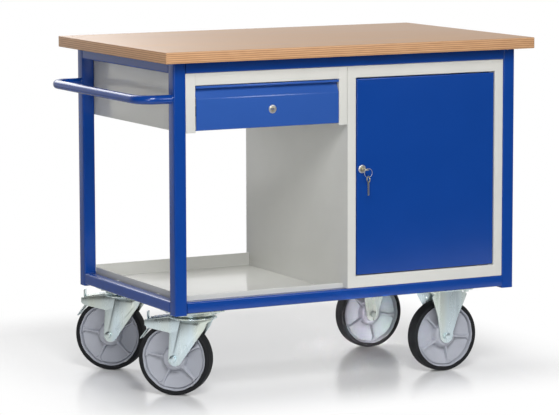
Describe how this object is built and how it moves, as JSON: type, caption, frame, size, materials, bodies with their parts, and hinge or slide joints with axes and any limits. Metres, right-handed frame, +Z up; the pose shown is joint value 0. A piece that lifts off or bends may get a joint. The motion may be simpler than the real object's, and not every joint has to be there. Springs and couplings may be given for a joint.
{
  "type": "workshop trolley",
  "caption": "Workshop trolley with a plywood worktop on a tube frame, a drawer, a lockable cabinet, an open bay with a shelf tray, a push handle, swivel casters with brakes and fixed casters.",
  "frame": {"origin": "on the floor, under the middle of the overall box", "axes": "+X along the worktop from the push handle to the cabinet end, -Y towards the drawer and door, +Z up"},
  "size_m": [1.178, 0.7, 0.932],
  "materials": {
    "blue_paint": "gloss blue powder coat on steel",
    "grey_paint": "gloss light grey powder coat on sheet steel",
    "beech_plywood": "satin lacquered beech plywood",
    "zinc_steel": "zinc plated pressed steel",
    "wheel_plastic": "moulded grey plastic",
    "tyre_rubber": "black thermoplastic rubber",
    "nickel": "nickel plated lock parts and keys"
  },
  "bodies": {
    "frame": {"worktop": "beech_plywood", "leg_front_left": "blue_paint", "leg_front_right": "blue_paint", "leg_back_left": "blue_paint", "leg_back_right": "blue_paint", "top_rail_front": "blue_paint", "top_rail_back": "blue_paint", "top_rail_left": "blue_paint", "top_rail_right": "blue_paint", "bottom_rail_front": "blue_paint", "bottom_rail_back": "blue_paint", "bottom_rail_left": "blue_paint", "bottom_rail_right": "blue_paint", "caster_beam_left": "blue_paint", "caster_beam_right": "blue_paint", "push_handle": "blue_paint", "shelf_tray": "grey_paint", "cabinet_shell": "grey_paint", "cabinet_top": "grey_paint", "cabinet_floor": "grey_paint", "cabinet_shelf": "grey_paint", "cabinet_front_frame": "grey_paint", "hinge_pin_top": "zinc_steel", "hinge_pin_bottom": "zinc_steel", "drawer_case": "grey_paint", "drawer_catch": "zinc_steel", "runner_outer_left": "zinc_steel", "runner_outer_right": "zinc_steel", "caster_plate_front_left": "zinc_steel", "caster_plate_back_left": "zinc_steel", "caster_fork_front_right": "zinc_steel", "caster_axle_front_right": "zinc_steel", "caster_fork_back_right": "zinc_steel", "caster_axle_back_right": "zinc_steel"},
    "door": {"door": "blue_paint", "door_lock_barrel": "nickel"},
    "door_lock": {"door_lock_plug": "nickel", "door_key": "nickel"},
    "key_ring": {"key_ring": "nickel", "spare_key": "nickel"},
    "drawer": {"drawer_front": "blue_paint", "drawer_box": "grey_paint", "drawer_lock_barrel": "nickel", "runner_inner_left": "zinc_steel", "runner_inner_right": "zinc_steel"},
    "drawer_lock": {"drawer_lock_plug": "nickel"},
    "swivel_front_left": {"caster_fork_front_left": "zinc_steel", "caster_axle_front_left": "zinc_steel"},
    "swivel_back_left": {"caster_fork_back_left": "zinc_steel", "caster_axle_back_left": "zinc_steel"},
    "brake_front_left": {"brake_pedal_front_left": "zinc_steel"},
    "brake_back_left": {"brake_pedal_back_left": "zinc_steel"},
    "wheel_front_left": {"wheel_rim_front_left": "wheel_plastic", "wheel_tyre_front_left": "tyre_rubber"},
    "wheel_back_left": {"wheel_rim_back_left": "wheel_plastic", "wheel_tyre_back_left": "tyre_rubber"},
    "wheel_front_right": {"wheel_rim_front_right": "wheel_plastic", "wheel_tyre_front_right": "tyre_rubber"},
    "wheel_back_right": {"wheel_rim_back_right": "wheel_plastic", "wheel_tyre_back_right": "tyre_rubber"}
  },
  "joints": [
    {"name": "door_hinge", "type": "hinge", "parent": "frame", "child": "door", "pos_m": [0.4787, -0.301, 0.571], "axis": [0, 0, 1], "range_deg": [0, 110]},
    {"name": "door_lock_turn", "type": "hinge", "parent": "door", "child": "door_lock", "pos_m": [0.0697, -0.307, 0.5931], "axis": [0, 1, 0], "range_deg": [0, 90]},
    {"name": "key_ring_swing", "type": "hinge", "parent": "door_lock", "child": "key_ring", "pos_m": [0.07745, -0.328, 0.5958], "axis": [0, 1, 0], "range_deg": [-15, 15]},
    {"name": "drawer_slide", "type": "slide", "parent": "frame", "child": "drawer", "axis": [0, -1, 0], "range_m": [0, 0.42]},
    {"name": "drawer_lock_turn", "type": "hinge", "parent": "drawer", "child": "drawer_lock", "pos_m": [-0.2014, -0.307, 0.768], "axis": [0, 1, 0], "range_deg": [0, 90]},
    {"name": "swivel_turn_front_left", "type": "hinge", "parent": "frame", "child": "swivel_front_left", "pos_m": [-0.3925, -0.209, 0.2165], "axis": [0, 0, 1], "continuous": true},
    {"name": "swivel_turn_back_left", "type": "hinge", "parent": "frame", "child": "swivel_back_left", "pos_m": [-0.3925, 0.209, 0.2165], "axis": [0, 0, 1], "continuous": true},
    {"name": "wheel_spin_front_left", "type": "hinge", "parent": "swivel_front_left", "child": "wheel_front_left", "pos_m": [-0.42638, -0.17571, 0.1], "axis": [0.7009, 0.7133, 0], "continuous": true},
    {"name": "wheel_spin_back_left", "type": "hinge", "parent": "swivel_back_left", "child": "wheel_back_left", "pos_m": [-0.42638, 0.24229, 0.1], "axis": [0.7009, 0.7133, 0], "continuous": true},
    {"name": "wheel_spin_front_right", "type": "hinge", "parent": "frame", "child": "wheel_front_right", "pos_m": [0.38, -0.209, 0.1], "axis": [0, 1, 0], "continuous": true},
    {"name": "wheel_spin_back_right", "type": "hinge", "parent": "frame", "child": "wheel_back_right", "pos_m": [0.38, 0.209, 0.1], "axis": [0, 1, 0], "continuous": true},
    {"name": "brake_press_front_left", "type": "hinge", "parent": "swivel_front_left", "child": "brake_front_left", "pos_m": [-0.47644, -0.12651, 0.19486], "axis": [-0.7009, -0.7133, 0], "range_deg": [0, 5]},
    {"name": "brake_press_back_left", "type": "hinge", "parent": "swivel_back_left", "child": "brake_back_left", "pos_m": [-0.47644, 0.29149, 0.19486], "axis": [-0.7009, -0.7133, 0], "range_deg": [0, 5]}
  ]
}
